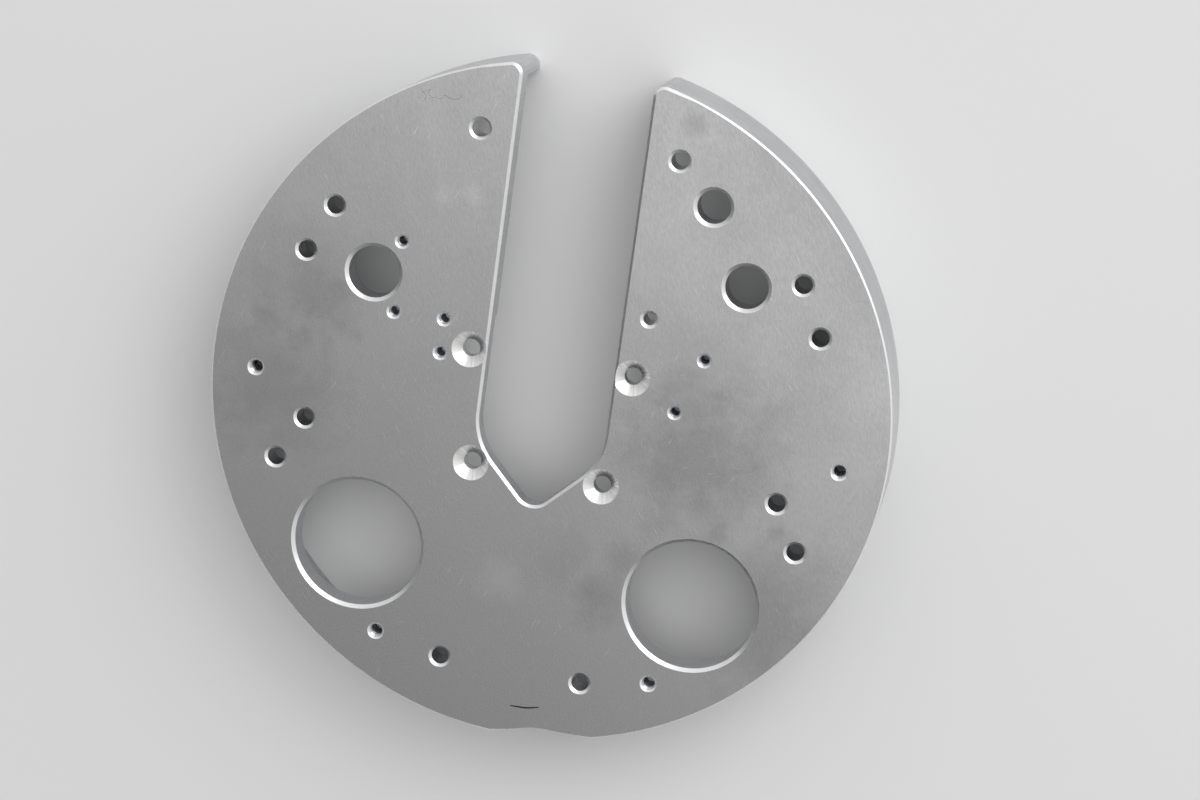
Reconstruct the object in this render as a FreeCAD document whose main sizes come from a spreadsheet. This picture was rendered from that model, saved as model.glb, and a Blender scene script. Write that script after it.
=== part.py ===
"""Slotted cover disc, machined from one aluminium blank.

The part is a shallow dish: a flat web carries all the holes, and a deep skirt runs
round its rim on the back.  A slot, open at the rim, runs to the middle of the disc
and ends in a 90 degree V with rounded corners.  Most holes come in pairs, mirrored
about the slot.

Frame: millimetres, origin on the disc's axis in the plane of the skirt's back edge,
+Z through the web to the front face, +Y along the slot towards its open mouth.
"""
import FreeCAD, Part
import math
import os
import Sketcher

NODE = "slotted_cover"

# Driving dimensions: alias, value, what it is.
SIZES = [
    ("disc_diameter", 250.0, "outside diameter of the rim"),
    ("overall_depth", 30.0, "front face to the skirt's back edge"),
    ("web_thickness", 10.0, "thickness of the web"),
    ("skirt_wall", 5.75, "radial thickness of the skirt"),
    ("rim_break", 0.6, "45 degree break on the rim's front edge"),
    ("skirt_break", 0.8, "45 degree break on the skirt's back edges"),
    ("slot_width", 47.0, "width of the slot's parallel part"),
    ("vee_depth", 39.2, "disc axis to the sharp corner of the V"),
    ("vee_angle", 90.0, "included angle of the V"),
    ("vee_tip_radius", 7.0, "rounding of the V's tip"),
    ("vee_shoulder_radius", 25.0, "rounding where the V meets the slot's sides"),
    ("mouth_radius", 4.0, "rounding of the two corners at the mouth"),
    ("mouth_runout", 14.0, "how far the cutter runs on along the rim's tangent"),
    ("slot_chamfer", 1.0, "45 degree chamfer round the slot's front edge"),
    ("recess_depth", 2.5, "pocket in the web's back round the V"),
    ("recess_width", 73.0, "width of that pocket"),
    ("recess_above", 29.3, "disc axis to the pocket's edge on the mouth side"),
    ("recess_below", 48.0, "disc axis to the pocket's opposite edge"),
    ("recess_corner", 8.0, "corner radius of the pocket"),
    ("port_diameter", 48.0, "the two large bores"),
    ("port_circle", 177.4, "circle through the centres of the large bores"),
    ("port_angle", 135.0, "large bores, angle from the mouth"),
    ("bore_chamfer", 1.25, "chamfer of the large and medium bores"),
    ("shaft_bore", 19.0, "medium bore with two tapped holes beside it"),
    ("shaft_bore_across", -68.4, "its place across the slot"),
    ("shaft_bore_along", 39.1, "its place along the slot"),
    ("guide_bore", 15.4, "medium bore on the other side"),
    ("guide_bore_across", 65.7, "its place across the slot"),
    ("guide_bore_along", 56.5, "its place along the slot"),
    ("cable_bore", 12.0, "smaller bore nearer the mouth"),
    ("cable_bore_across", 50.1, "its place across the slot"),
    ("cable_bore_along", 82.9, "its place along the slot"),
    ("screw_hole", 6.4, "clearance hole for an M6 screw"),
    ("screw_chamfer", 8.4, "diameter of its chamfer"),
    ("screw_circle", 207.0, "circle of the outer screw holes"),
    ("screw_angle_first", 20.35, "outer screw holes, angles from the mouth"),
    ("screw_angle_second", 65.4, ""),
    ("screw_angle_third", 110.2, ""),
    ("screw_angle_fourth", 165.1, ""),
    ("dowel_circle", 209.6, "circle of the pair set slightly further out"),
    ("dowel_angle", 54.5, "its angle from the mouth"),
    ("stay_circle", 179.8, "circle of the pair set further in"),
    ("stay_angle", 102.25, "its angle from the mouth"),
    ("sunk_head", 13.2, "countersink for an M6 flat head screw"),
    ("sunk_circle", 69.0, "circle of the four countersunk holes"),
    ("sunk_angle_upper", 60.2, "countersunk holes, angles from the mouth"),
    ("sunk_angle_lower", 135.3, ""),
    ("large_tap_drill", 4.2, "tapping drill for M5"),
    ("large_tap_chamfer", 6.4, "diameter of its chamfer"),
    ("large_tap_circle", 216.4, "circle of the M5 holes"),
    ("large_tap_angle_upper", 91.8, "M5 holes, angles from the mouth"),
    ("large_tap_angle_lower", 151.4, ""),
    ("small_tap_drill", 3.3, "tapping drill for M4"),
    ("small_tap_chamfer", 5.6, "diameter of its chamfer"),
    ("shaft_tap_shift", 9.2, "M4 holes beside the shaft bore, across from it"),
    ("shaft_tap_spread", 26.0, "distance between them along the slot"),
    ("vee_tap_across", -40.5, "pair of M4 holes left of the V"),
    ("vee_tap_along", 20.35, "their middle, along the slot"),
    ("vee_tap_spread", 12.5, "distance between them"),
    ("outer_tap_across", 54.8, "two single M4 holes right of the V"),
    ("outer_tap_along", 28.1, ""),
    ("inner_tap_across", 47.0, ""),
    ("inner_tap_along", 7.5, ""),
    ("pin_hole", 4.5, "single plain hole right of the slot"),
    ("pin_chamfer", 6.7, "diameter of its chamfer"),
    ("pin_across", 33.15, ""),
    ("pin_along", 39.35, ""),
    ("relief_depth", 4.6, "shallow relief on the rim opposite the mouth"),
    ("relief_end", 12.0, "where its flat turns into the run-out"),
    ("relief_slope", 15.5, "slope of the run-out"),
    ("relief_radius", 24.0, "rounding between flat and run-out"),
]
VALUE = {alias: value for alias, value, note in SIZES}

# Every group of holes: name, diameter, chamfer diameter, mirrored, centres.  A centre
# is a pair of expressions: across the slot and along it.
POLAR = "Sizes.{0}_circle / 2 * sin({1})", "Sizes.{0}_circle / 2 * cos({1})"


def polar(circle, angle):
    """Return the two centre expressions of a hole given by circle and angle."""
    return tuple(text.format(circle, "Sizes." + angle) for text in POLAR)


HOLES = [
    ("ScrewHoles", "Sizes.screw_hole", "Sizes.screw_chamfer", True, [
        polar("screw", "screw_angle_first"),
        polar("screw", "screw_angle_second"),
        polar("screw", "screw_angle_third"),
        polar("screw", "screw_angle_fourth"),
        polar("dowel", "dowel_angle"),
        polar("stay", "stay_angle"),
    ]),
    ("SunkHoles", "Sizes.screw_hole", "Sizes.sunk_head", True, [
        polar("sunk", "sunk_angle_upper"),
        polar("sunk", "sunk_angle_lower"),
    ]),
    ("Ports", "Sizes.port_diameter",
     "Sizes.port_diameter + 2 * Sizes.bore_chamfer", True, [
         polar("port", "port_angle"),
     ]),
    ("LargeTaps", "Sizes.large_tap_drill", "Sizes.large_tap_chamfer", True, [
        polar("large_tap", "large_tap_angle_upper"),
        polar("large_tap", "large_tap_angle_lower"),
    ]),
    ("ShaftBore", "Sizes.shaft_bore",
     "Sizes.shaft_bore + 2 * Sizes.bore_chamfer", False, [
         ("Sizes.shaft_bore_across", "Sizes.shaft_bore_along"),
     ]),
    ("GuideBore", "Sizes.guide_bore",
     "Sizes.guide_bore + 2 * Sizes.bore_chamfer", False, [
         ("Sizes.guide_bore_across", "Sizes.guide_bore_along"),
     ]),
    ("CableBore", "Sizes.cable_bore",
     "Sizes.cable_bore + 2 * Sizes.bore_chamfer", False, [
         ("Sizes.cable_bore_across", "Sizes.cable_bore_along"),
     ]),
    ("PinHole", "Sizes.pin_hole", "Sizes.pin_chamfer", False, [
        ("Sizes.pin_across", "Sizes.pin_along"),
    ]),
    ("SmallTaps", "Sizes.small_tap_drill", "Sizes.small_tap_chamfer", False, [
        ("Sizes.shaft_bore_across + Sizes.shaft_tap_shift",
         "Sizes.shaft_bore_along + Sizes.shaft_tap_spread / 2"),
        ("Sizes.shaft_bore_across + Sizes.shaft_tap_shift",
         "Sizes.shaft_bore_along - Sizes.shaft_tap_spread / 2"),
        ("Sizes.vee_tap_across", "Sizes.vee_tap_along + Sizes.vee_tap_spread / 2"),
        ("Sizes.vee_tap_across", "Sizes.vee_tap_along - Sizes.vee_tap_spread / 2"),
        ("Sizes.outer_tap_across", "Sizes.outer_tap_along"),
        ("Sizes.inner_tap_across", "Sizes.inner_tap_along"),
    ]),
]


def vector(x, y):
    """Return a sketch point."""
    return FreeCAD.Vector(x, y, 0)


def make_sheet(doc):
    """Write the driving dimensions into a spreadsheet and return it."""
    sheet = doc.addObject("Spreadsheet::Sheet", "Sizes")
    for row, (alias, value, note) in enumerate(SIZES, start=1):
        sheet.set("A%d" % row, alias)
        sheet.set("B%d" % row, str(value))
        sheet.setAlias("B%d" % row, alias)
        sheet.set("C%d" % row, note)
    doc.recompute()
    return sheet


def origin_plane(body, role):
    """Return one of the body's own origin planes."""
    for item in body.Origin.OriginFeatures:
        if item.Role == role:
            return item
    raise RuntimeError("no origin plane " + role)


def new_sketch(body, name, height=None):
    """Make a sketch on the body's XY plane, lifted by an expression if given."""
    sketch = body.newObject("Sketcher::SketchObject", name)
    sketch.AttachmentSupport = [(origin_plane(body, "XY_Plane"), "")]
    sketch.MapMode = "FlatFace"
    if height:
        sketch.setExpression(".AttachmentOffset.Base.z", height)
    return sketch


def bind(sketch, kind, where, value, expression):
    """Add one dimension to a sketch and bind it to an expression."""
    index = sketch.addConstraint(Sketcher.Constraint(kind, *where, value))
    sketch.setExpression("Constraints[%d]" % index, expression)


def add_circle(sketch, x, y, radius, radius_expression, centre=None):
    """Add a circle, on the origin unless centre expressions are given."""
    circle = Part.Circle(vector(x, y), vector(0, 0) + FreeCAD.Vector(0, 0, 1), radius)
    index = sketch.addGeometry(circle, False)
    bind(sketch, "Radius", (index,), radius, radius_expression)
    if centre is None:
        sketch.addConstraint(Sketcher.Constraint("Coincident", index, 3, -1, 1))
        return index
    bind(sketch, "DistanceX", (index, 3), x, centre[0])
    bind(sketch, "DistanceY", (index, 3), y, centre[1])
    return index


def edges_at(shape, radius, height):
    """Name the full circles of a radius lying at a height."""
    names = []
    for number, edge in enumerate(shape.Edges, start=1):
        curve = edge.Curve
        if not isinstance(curve, Part.Circle):
            continue
        if abs(curve.Radius - radius) < 1e-6 and abs(curve.Center.z - height) < 1e-6:
            names.append("Edge%d" % number)
    return names


def cut_volume(doc, feature, before):
    """Recompute, insist that the feature removed metal, return the new volume."""
    doc.recompute()
    volume = feature.Shape.Volume
    if not volume < before - 1e-3:
        raise RuntimeError(feature.Name + " cut nothing")
    return volume


def slot_points():
    """Work out the slot's outline: where its lines and arcs meet.

    Returns:
        A dictionary of (x, y) pairs for the right-hand half.
    """
    half = VALUE["slot_width"] / 2
    lean = math.radians(VALUE["vee_angle"] / 2)
    tip = VALUE["vee_tip_radius"]
    tip_centre = (0.0, -VALUE["vee_depth"] + tip / math.sin(lean))
    tip_end = (tip * math.cos(lean), tip_centre[1] - tip * math.sin(lean))
    shoulder = VALUE["vee_shoulder_radius"]
    corner = -VALUE["vee_depth"] + half / math.tan(lean)
    shoulder_top = (half, corner + shoulder * math.tan(lean / 2))
    shoulder_centre = (half - shoulder, shoulder_top[1])
    shoulder_low = (shoulder_centre[0] + shoulder * math.cos(lean),
                    shoulder_centre[1] - shoulder * math.sin(lean))
    rim = VALUE["disc_diameter"] / 2
    mouth = VALUE["mouth_radius"]
    mouth_x = half + mouth
    mouth_centre = (mouth_x, math.sqrt((rim - mouth) ** 2 - mouth_x ** 2))
    scale = rim / (rim - mouth)
    mouth_end = (mouth_centre[0] * scale, mouth_centre[1] * scale)
    run = VALUE["mouth_runout"] / rim
    runout = (mouth_end[0] + mouth_end[1] * run, mouth_end[1] - mouth_end[0] * run)
    return {
        "tip_centre": tip_centre,
        "tip_end": tip_end,
        "shoulder_low": shoulder_low,
        "shoulder_centre": shoulder_centre,
        "shoulder_top": shoulder_top,
        "mouth_start": (half, mouth_centre[1]),
        "mouth_centre": mouth_centre,
        "mouth_end": mouth_end,
        "runout": runout,
        "beyond": (runout[0], rim + mouth),
    }


def arc(centre, start, end):
    """Make an arc that runs anticlockwise from start to end round centre."""
    radius = math.hypot(start[0] - centre[0], start[1] - centre[1])
    circle = Part.Circle(vector(*centre), FreeCAD.Vector(0, 0, 1), radius)
    first = math.atan2(start[1] - centre[1], start[0] - centre[0])
    last = math.atan2(end[1] - centre[1], end[0] - centre[0])
    if last < first:
        last += 2 * math.pi
    return Part.ArcOfCircle(circle, first, last)


def draw_slot(sketch, grow):
    """Draw the slot's closed outline, constrained and bound to the sheet.

    Args:
        sketch: the empty sketch.
        grow: expression of how far the outline lies outside the slot, or "" for none.
    """
    extra = VALUE["slot_chamfer"] if grow else 0.0
    more = " + " + grow if grow else ""
    less = " - " + grow if grow else ""
    spot = slot_points()
    half = VALUE["slot_width"] / 2

    def moved(point, centre, sign=1.0):
        """Shift a tangent point away from (or towards) its arc's centre."""
        dx = point[0] - centre[0]
        dy = point[1] - centre[1]
        length = math.hypot(dx, dy)
        return (point[0] + sign * extra * dx / length,
                point[1] + sign * extra * dy / length)

    def flip(point):
        """Mirror a point about the slot's middle."""
        return (-point[0], point[1])

    tip_end = moved(spot["tip_end"], spot["tip_centre"])
    low = moved(spot["shoulder_low"], spot["shoulder_centre"])
    top = moved(spot["shoulder_top"], spot["shoulder_centre"])
    start = moved(spot["mouth_start"], spot["mouth_centre"], -1.0)
    end = moved(spot["mouth_end"], spot["mouth_centre"], -1.0)
    rim = VALUE["disc_diameter"] / 2
    shift = (-extra * spot["mouth_end"][0] / rim, -extra * spot["mouth_end"][1] / rim)
    runout = (spot["runout"][0] + shift[0], spot["runout"][1] + shift[1])
    beyond = (runout[0], spot["beyond"][1])

    def line(first, second):
        """Make one straight piece."""
        return Part.LineSegment(vector(*first), vector(*second))

    shapes = [
        arc(spot["tip_centre"], flip(tip_end), tip_end),
        line(tip_end, low),
        arc(spot["shoulder_centre"], low, top),
        line(top, start),
        arc(spot["mouth_centre"], end, start),
        line(end, runout),
        line(runout, beyond),
        line(beyond, flip(beyond)),
        line(flip(beyond), flip(runout)),
        line(flip(runout), flip(end)),
        arc(flip(spot["mouth_centre"]), flip(start), flip(end)),
        line(flip(start), flip(top)),
        arc(flip(spot["shoulder_centre"]), flip(top), flip(low)),
        line(flip(low), flip(tip_end)),
    ]
    sketch.addGeometry(shapes, False)
    # Tangent joints (curve, end) pairs round the outline.
    for pair in ((0, 2, 1, 1), (1, 2, 2, 1), (2, 2, 3, 1), (3, 2, 4, 2), (4, 1, 5, 1),
                 (9, 2, 10, 2), (10, 1, 11, 1), (11, 2, 12, 1), (12, 2, 13, 1),
                 (13, 2, 0, 1)):
        sketch.addConstraint(Sketcher.Constraint("Tangent", *pair))
    for pair in ((5, 2, 6, 1), (6, 2, 7, 1), (7, 2, 8, 1), (8, 2, 9, 1)):
        sketch.addConstraint(Sketcher.Constraint("Coincident", *pair))
    for side in (3, 6, 8, 11):
        sketch.addConstraint(Sketcher.Constraint("Vertical", side))
    sketch.addConstraint(Sketcher.Constraint("Horizontal", 7))
    sketch.addConstraint(Sketcher.Constraint("PointOnObject", 0, 3, -2))
    bind(sketch, "DistanceX", (3, 1), half + extra, "Sizes.slot_width / 2" + more)
    bind(sketch, "DistanceX", (11, 2), -half - extra, "-Sizes.slot_width / 2" + less)
    bind(sketch, "DistanceY", (0, 3), spot["tip_centre"][1],
         "Sizes.vee_tip_radius / sin(Sizes.vee_angle / 2) - Sizes.vee_depth")
    bind(sketch, "Radius", (0,), VALUE["vee_tip_radius"] + extra,
         "Sizes.vee_tip_radius" + more)
    rise = math.radians(90.0 - VALUE["vee_angle"] / 2)
    bind(sketch, "Angle", (1,), rise, "(90 - Sizes.vee_angle / 2) * 1 deg")
    bind(sketch, "Angle", (13,), -rise, "(Sizes.vee_angle / 2 - 90) * 1 deg")
    for index in (2, 12):
        bind(sketch, "Radius", (index,), VALUE["vee_shoulder_radius"] + extra,
             "Sizes.vee_shoulder_radius" + more)
    for index in (4, 10):
        bind(sketch, "Radius", (index,), VALUE["mouth_radius"] - extra,
             "Sizes.mouth_radius" + less)
        bind(sketch, "DistanceY", (index, 3), spot["mouth_centre"][1],
             "sqrt((Sizes.disc_diameter / 2 - Sizes.mouth_radius)^2"
             " - (Sizes.slot_width / 2 + Sizes.mouth_radius)^2)")
    turn = "asin((Sizes.slot_width / 2 + Sizes.mouth_radius)" \
           " / (Sizes.disc_diameter / 2 - Sizes.mouth_radius))"
    dip = math.asin(spot["mouth_centre"][0] / (rim - VALUE["mouth_radius"]))
    bind(sketch, "Angle", (5,), -dip, "-" + turn)
    bind(sketch, "Angle", (9,), dip, turn)
    for index in (5, 9):
        bind(sketch, "Distance", (index,), VALUE["mouth_runout"], "Sizes.mouth_runout")
    bind(sketch, "DistanceY", (6, 2), beyond[1],
         "Sizes.disc_diameter / 2 + Sizes.mouth_radius")


def draw_recess(sketch):
    """Draw the rounded rectangle of the recess in the web's back."""
    half = VALUE["recess_width"] / 2
    top = VALUE["recess_above"]
    low = -VALUE["recess_below"]
    radius = VALUE["recess_corner"]
    corners = [(half, low, 0), (half, top, 1), (-half, top, 2), (-half, low, 3)]
    lines = [
        ((-half + radius, low), (half - radius, low)),
        ((half, low + radius), (half, top - radius)),
        ((half - radius, top), (-half + radius, top)),
        ((-half, top - radius), (-half, low + radius)),
    ]
    for first, second in lines:
        sketch.addGeometry(Part.LineSegment(vector(*first), vector(*second)), False)
    for x, y, turn in corners:
        centre = (x - math.copysign(radius, x), y - math.copysign(radius, y - top / 2))
        ends = [(centre[0], y), (x, centre[1])]
        if turn % 2:
            ends.reverse()
        sketch.addGeometry(arc(centre, *ends), False)
    for turn in range(4):
        after = (turn + 1) % 4
        sketch.addConstraint(Sketcher.Constraint("Tangent", turn, 2, 4 + turn, 1))
        sketch.addConstraint(Sketcher.Constraint("Tangent", 4 + turn, 2, after, 1))
    for side in (0, 2):
        sketch.addConstraint(Sketcher.Constraint("Horizontal", side))
    for side in (1, 3):
        sketch.addConstraint(Sketcher.Constraint("Vertical", side))
    bind(sketch, "DistanceX", (1, 1), half, "Sizes.recess_width / 2")
    bind(sketch, "DistanceX", (3, 1), -half, "-Sizes.recess_width / 2")
    bind(sketch, "DistanceY", (2, 1), top, "Sizes.recess_above")
    bind(sketch, "DistanceY", (0, 1), low, "-Sizes.recess_below")
    for turn in range(4):
        bind(sketch, "Radius", (4 + turn,), radius, "Sizes.recess_corner")


def draw_relief(sketch):
    """Draw the shallow relief: a flat, a rounded turn and a sloping run-out."""
    rim = VALUE["disc_diameter"] / 2
    flat = VALUE["relief_depth"] - rim
    slope = math.radians(VALUE["relief_slope"])
    radius = VALUE["relief_radius"]
    turn = radius * math.tan(slope / 2)
    end = VALUE["relief_end"]
    flat_end = (end + turn, flat)
    centre = (flat_end[0], flat - radius)
    slope_top = (centre[0] - radius * math.sin(slope),
                 centre[1] + radius * math.cos(slope))
    reach = rim / 5
    slope_low = (slope_top[0] - reach * math.cos(slope),
                 slope_top[1] - reach * math.sin(slope))
    right = (rim / 3, flat)
    below = -rim - radius
    shapes = [
        Part.LineSegment(vector(*right), vector(*flat_end)),
        arc(centre, flat_end, slope_top),
        Part.LineSegment(vector(*slope_top), vector(*slope_low)),
        Part.LineSegment(vector(*slope_low), vector(slope_low[0], below)),
        Part.LineSegment(vector(slope_low[0], below), vector(right[0], below)),
        Part.LineSegment(vector(right[0], below), vector(*right)),
    ]
    sketch.addGeometry(shapes, False)
    sketch.addConstraint(Sketcher.Constraint("Tangent", 0, 2, 1, 1))
    sketch.addConstraint(Sketcher.Constraint("Tangent", 1, 2, 2, 1))
    for first in (2, 3, 4, 5):
        second = (first + 1) % 6
        sketch.addConstraint(Sketcher.Constraint("Coincident", first, 2, second, 1))
    for side in (0, 4):
        sketch.addConstraint(Sketcher.Constraint("Horizontal", side))
    for side in (3, 5):
        sketch.addConstraint(Sketcher.Constraint("Vertical", side))
    bind(sketch, "DistanceY", (0, 1), flat,
         "Sizes.relief_depth - Sizes.disc_diameter / 2")
    bind(sketch, "Radius", (1,), radius, "Sizes.relief_radius")
    bind(sketch, "DistanceX", (0, 2), flat_end[0],
         "Sizes.relief_end + Sizes.relief_radius * tan(Sizes.relief_slope / 2)")
    bind(sketch, "Angle", (2,), slope - math.pi,
         "(Sizes.relief_slope - 180) * 1 deg")
    bind(sketch, "DistanceX", (0, 1), right[0], "Sizes.disc_diameter / 6")
    bind(sketch, "DistanceX", (4, 1), slope_low[0], "%.6f" % slope_low[0])
    bind(sketch, "DistanceY", (4, 1), below,
         "-Sizes.disc_diameter / 2 - Sizes.relief_radius")


def evaluate(sheet, expression):
    """Work out an expression of the sheet's cells."""
    return float(sheet.evalExpression(expression.replace("Sizes.", "")))


def pocket(body, name, sketch, length):
    """Cut a sketch's outline away from the back towards the front."""
    feature = body.newObject("PartDesign::Pocket", name)
    feature.Profile = sketch
    feature.Reversed = True
    feature.setExpression("Length", length)
    return feature


def build(doc, sheet):
    """Build the disc feature by feature and return its body."""
    body = doc.addObject("PartDesign::Body", "Body")
    body.Label = NODE
    rim = VALUE["disc_diameter"] / 2
    inside = rim - VALUE["skirt_wall"]
    depth = VALUE["overall_depth"]

    sketch = new_sketch(body, "DiscOutline")
    add_circle(sketch, 0, 0, rim, "Sizes.disc_diameter / 2")
    disc = body.newObject("PartDesign::Pad", "Disc")
    disc.Profile = sketch
    disc.setExpression("Length", "Sizes.overall_depth")
    doc.recompute()
    volume = disc.Shape.Volume

    sketch = new_sketch(body, "DishOutline")
    add_circle(sketch, 0, 0, inside, "Sizes.disc_diameter / 2 - Sizes.skirt_wall")
    dish = pocket(body, "Dish", sketch, "Sizes.overall_depth - Sizes.web_thickness")
    volume = cut_volume(doc, dish, volume)

    front = body.newObject("PartDesign::Chamfer", "RimBreak")
    front.Base = (dish, edges_at(dish.Shape, rim, depth))
    front.setExpression("Size", "Sizes.rim_break")
    volume = cut_volume(doc, front, volume)

    back = body.newObject("PartDesign::Chamfer", "SkirtBreak")
    back.Base = (front, edges_at(front.Shape, rim, 0.0) +
                 edges_at(front.Shape, inside, 0.0))
    back.setExpression("Size", "Sizes.skirt_break")
    volume = cut_volume(doc, back, volume)

    sketch = new_sketch(body, "RecessOutline")
    draw_recess(sketch)
    recess = pocket(body, "BackRecess", sketch,
                    "Sizes.overall_depth - Sizes.web_thickness + Sizes.recess_depth")
    volume = cut_volume(doc, recess, volume)

    sketch = new_sketch(body, "SlotOutline")
    draw_slot(sketch, "")
    slot = pocket(body, "Slot", sketch, "Sizes.overall_depth")
    volume = cut_volume(doc, slot, volume)

    sketch = new_sketch(body, "SlotChamferOutline", "Sizes.overall_depth")
    draw_slot(sketch, "Sizes.slot_chamfer")
    bevel = body.newObject("PartDesign::Pocket", "SlotChamfer")
    bevel.Profile = sketch
    bevel.setExpression("Length", "Sizes.slot_chamfer")
    bevel.TaperAngle = -45.0
    volume = cut_volume(doc, bevel, volume)

    sketch = new_sketch(body, "ReliefOutline")
    draw_relief(sketch)
    relief = pocket(body, "Relief", sketch, "Sizes.overall_depth")
    volume = cut_volume(doc, relief, volume)

    mirrored = []
    for name, diameter, chamfer, twins, centres in HOLES:
        sketch = new_sketch(body, name + "Centres", "Sizes.overall_depth")
        radius = evaluate(sheet, diameter) / 2
        for centre in centres:
            x, y = [evaluate(sheet, text) for text in centre]
            add_circle(sketch, x, y, radius, "(" + diameter + ") / 2", centre)
        doc.recompute()
        hole = body.newObject("PartDesign::Hole", name)
        hole.Profile = sketch
        hole.ThreadType = "None"
        hole.DepthType = "ThroughAll"
        hole.HoleCutType = "Countersink"
        hole.HoleCutCountersinkAngle = 90.0
        hole.setExpression("Diameter", diameter)
        hole.setExpression("HoleCutDiameter", chamfer)
        volume = cut_volume(doc, hole, volume)
        if twins:
            mirrored.append(hole)

    other = body.newObject("PartDesign::Mirrored", "OtherSide")
    other.Originals = mirrored
    other.MirrorPlane = (origin_plane(body, "YZ_Plane"), [""])
    body.Tip = other
    cut_volume(doc, other, volume)
    return body


def check(doc, body):
    """Stop unless every object is sound and the body is one valid solid."""
    for item in doc.Objects:
        if "Invalid" in item.State or "Error" in item.State:
            raise RuntimeError("%s failed: %s" % (item.Name, item.State))
    shape = body.Shape
    if shape.isNull() or not shape.isValid() or len(shape.Solids) != 1:
        raise RuntimeError("the body is not one valid solid")


def main():
    """Build the part and write its STEP file."""
    doc = FreeCAD.newDocument("SlottedCover")
    sheet = make_sheet(doc)
    body = build(doc, sheet)
    doc.recompute()
    check(doc, body)
    box = body.Shape.BoundBox
    print("box %.2f %.2f %.2f .. %.2f %.2f %.2f" % (
        box.XMin, box.YMin, box.ZMin, box.XMax, box.YMax, box.ZMax))
    print("volume %.1f cm3, %d faces" % (body.Shape.Volume / 1000, len(body.Shape.Faces)))
    os.makedirs("parts", exist_ok=True)
    body.Shape.exportStep("parts/%s.step" % NODE)


main()
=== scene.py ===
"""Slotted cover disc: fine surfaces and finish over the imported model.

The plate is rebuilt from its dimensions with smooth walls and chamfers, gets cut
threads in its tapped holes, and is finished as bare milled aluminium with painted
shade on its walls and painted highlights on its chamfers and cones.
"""
import logging
import math
from dataclasses import dataclass
from enum import Enum

import bmesh
import bpy
import numpy as np
from mathutils import Euler, Matrix, Vector
from mathutils.geometry import delaunay_2d_cdt


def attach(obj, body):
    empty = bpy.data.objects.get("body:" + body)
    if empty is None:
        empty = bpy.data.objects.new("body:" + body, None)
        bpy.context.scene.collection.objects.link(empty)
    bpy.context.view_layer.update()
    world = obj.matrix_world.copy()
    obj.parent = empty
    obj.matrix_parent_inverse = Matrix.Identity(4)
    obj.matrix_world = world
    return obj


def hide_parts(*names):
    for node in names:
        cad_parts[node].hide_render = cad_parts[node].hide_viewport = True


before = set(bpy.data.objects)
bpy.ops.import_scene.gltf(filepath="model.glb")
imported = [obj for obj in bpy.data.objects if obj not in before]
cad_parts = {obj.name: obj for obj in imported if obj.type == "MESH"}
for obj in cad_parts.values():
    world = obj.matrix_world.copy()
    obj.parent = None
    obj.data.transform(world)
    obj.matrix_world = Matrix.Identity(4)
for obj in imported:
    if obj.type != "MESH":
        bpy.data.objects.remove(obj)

logging.basicConfig(level=logging.INFO, format="%(name)s: %(message)s")
LOG = logging.getLogger("scene")
NODE = "slotted_cover"
MM = 0.001
SHARP_ANGLE = 28.0      # degrees between faces from which an edge stays sharp
THREAD_ANGLE = 40.0     # the same for the thread ridges
MERGE_REACH = 2e-7      # metres within which points of the plate are joined
RIM_MARGIN = 0.01       # millimetres by which a point may miss the rim's radius
RELIEF_STEP = 9.0       # millimetres of flat beyond the relief's rounded turn
CUTTER_OVERRUN = 1.0    # millimetres by which a cutter stands out of the plate
LINE_HEIGHT = 0.00006   # metres of relief that the fine lines have
DRAWN_LIFT = 0.012      # millimetres from the face up to a drawn stroke
DRAWN_STEPS = 12        # points between two spots of a drawn stroke
THREAD_LEAD = 0.5       # pitches left free at each end of a thread
THREAD_RELIEF = 0.55    # pitches left free under a tapped hole's chamfer
FLOOR_REACH = 3.0       # metres from the part's axis to the floor's edge
FLOOR_DROP = 0.0002     # metres from the skirt down to the floor
KEY_PLACE = (1.2, 1.4, 0.8)
KEY_SIDE = 1.6
KEY_POWER = 16.0
CAMERA_PLACE = (0.169456, 0.257298, 0.984623)
CAMERA_TURN = (-0.229837, 0.188803, 0.136423)
CAMERA_LENS = 83.72


class HoleKind(Enum):
    """What a hole is for; countersunk ones are cut out of the finished plate."""

    PLAIN = "plain"
    SUNK = "sunk"
    TAPPED = "tapped"
    BORE = "bore"


class Skin(Enum):
    """Material index of each kind of surface."""

    FACE = 0
    CHAMFER = 1
    WALL = 2
    BORE = 3
    CONE = 4
    BACK = 5
    RIM = 6


@dataclass(frozen=True)
class Sizes:
    """Dimensions of the disc in millimetres."""

    radius: float = 125.0
    depth: float = 30.0
    web: float = 10.0
    skirt_radius: float = 119.25
    rim_break: float = 0.6
    skirt_break: float = 0.8
    slot_half: float = 23.5
    vee_depth: float = 39.2
    tip_radius: float = 7.0
    shoulder_radius: float = 25.0
    mouth_radius: float = 4.0
    slot_chamfer: float = 1.0
    recess_depth: float = 2.5
    recess_half: float = 36.5
    recess_top: float = 29.3
    recess_low: float = -48.0
    recess_corner: float = 8.0
    relief_depth: float = 4.6
    relief_end: float = 12.0
    relief_slope: float = 15.5
    relief_radius: float = 24.0
    relief_break: float = 0.12


@dataclass(frozen=True)
class Hole:
    """One round hole.

    Args:
        x, y: centre in millimetres.
        radius: wall radius.
        mouth: radius of its chamfer or countersink at the front face.
        kind: what it is for.
        pitch: thread pitch, 0 for a plain hole.
    """

    x: float
    y: float
    radius: float
    mouth: float
    kind: HoleKind
    pitch: float = 0.0

    @property
    def steps(self) -> int:
        """Number of points round the hole."""
        return int(min(224, max(72, self.radius * 9)))

    @property
    def wall(self) -> float:
        """Radius of the wall as it shows: a thread's ridges stand in from it."""
        return self.radius + self.pitch / 2.0


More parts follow.
